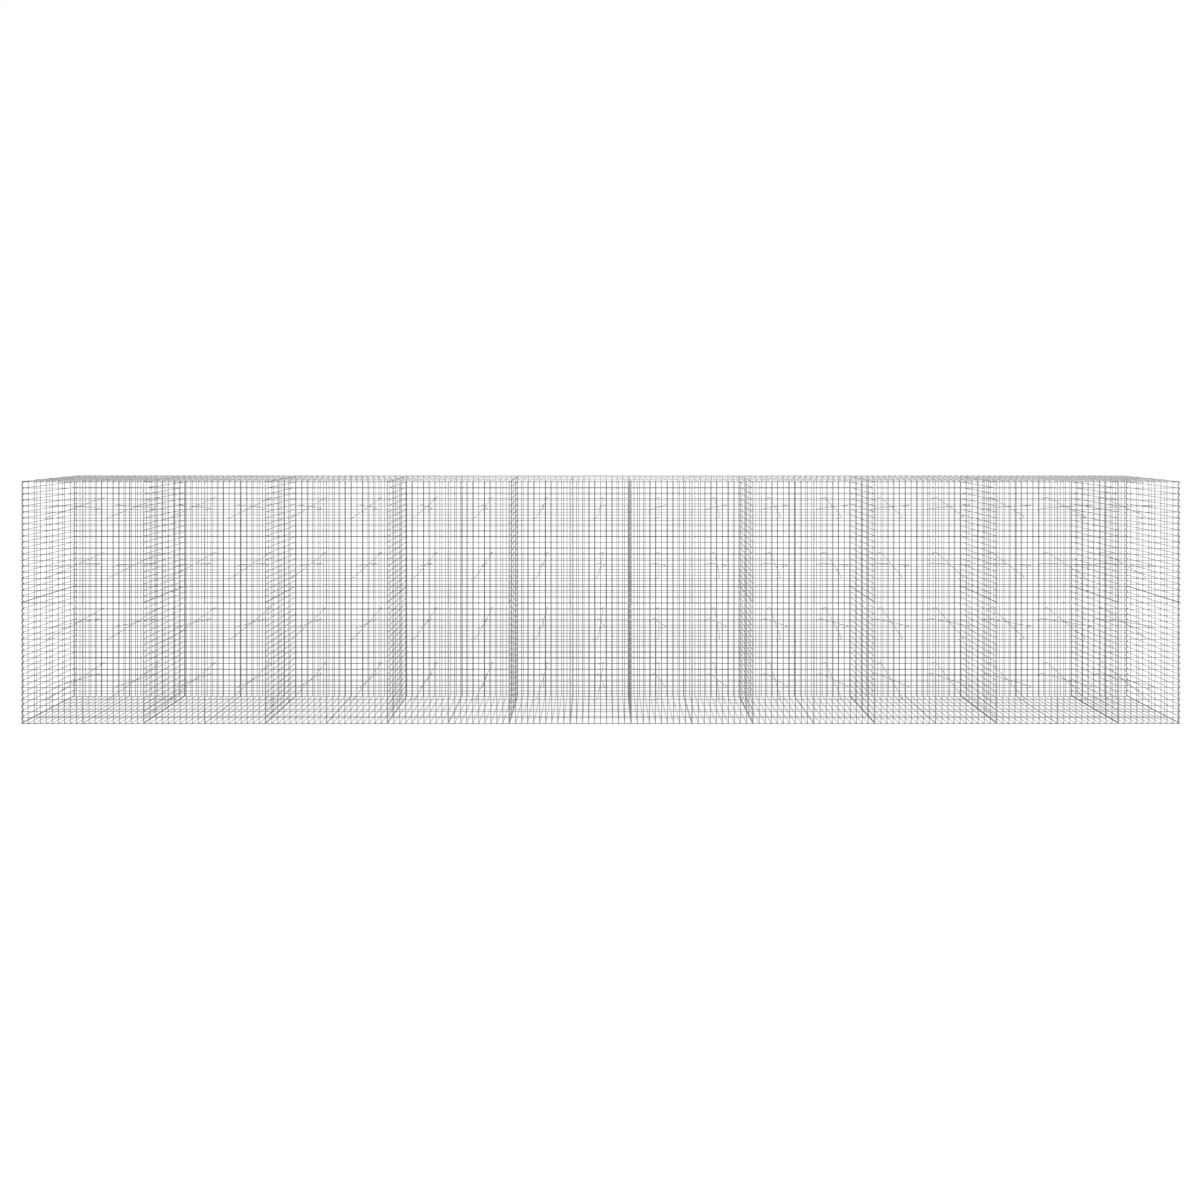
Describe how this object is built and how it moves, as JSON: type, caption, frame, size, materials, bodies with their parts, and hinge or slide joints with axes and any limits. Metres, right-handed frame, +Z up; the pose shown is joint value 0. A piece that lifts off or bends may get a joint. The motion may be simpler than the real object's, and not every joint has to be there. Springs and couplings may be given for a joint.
{
  "type": "gabion wall",
  "caption": "Long upright gabion wall basket of welded galvanised wire mesh, with cross partitions, mesh floor, mesh lid and front-to-rear tie wires, empty and ready for stone fill.",
  "frame": {"origin": "middle of the wall's underside, at ground level", "axes": "+X along the wall, to the right as seen from the front; +Y from the front mesh to the rear mesh; +Z up"},
  "size_m": [9.6304, 1.0342, 2.0196],
  "materials": {
    "mesh_wire": "dull hot-dip galvanised wire",
    "tie_wire": "galvanised wire, slightly darker"
  },
  "bodies": {
    "root": {"front_bay_01": "mesh_wire", "front_bay_02": "mesh_wire", "front_bay_03": "mesh_wire", "front_bay_04": "mesh_wire", "front_bay_05": "mesh_wire", "front_bay_06": "mesh_wire", "front_bay_07": "mesh_wire", "front_bay_08": "mesh_wire", "front_bay_09": "mesh_wire", "front_bay_10": "mesh_wire", "rear_bay_01": "mesh_wire", "rear_bay_02": "mesh_wire", "rear_bay_03": "mesh_wire", "rear_bay_04": "mesh_wire", "rear_bay_05": "mesh_wire", "rear_bay_06": "mesh_wire", "rear_bay_07": "mesh_wire", "rear_bay_08": "mesh_wire", "rear_bay_09": "mesh_wire", "rear_bay_10": "mesh_wire", "partition_01": "mesh_wire", "partition_02": "mesh_wire", "partition_03": "mesh_wire", "partition_04": "mesh_wire", "partition_05": "mesh_wire", "partition_06": "mesh_wire", "partition_07": "mesh_wire", "partition_08": "mesh_wire", "partition_09": "mesh_wire", "end_left": "mesh_wire", "end_right": "mesh_wire", "floor_mesh_01": "mesh_wire", "floor_mesh_02": "mesh_wire", "floor_mesh_03": "mesh_wire", "floor_mesh_04": "mesh_wire", "floor_mesh_05": "mesh_wire", "lid_01": "mesh_wire", "lid_02": "mesh_wire", "lid_03": "mesh_wire", "lid_04": "mesh_wire", "lid_05": "mesh_wire", "tie_row_01": "tie_wire", "tie_row_02": "tie_wire", "tie_row_03": "tie_wire", "tie_row_04": "tie_wire"}
  },
  "joints": []
}
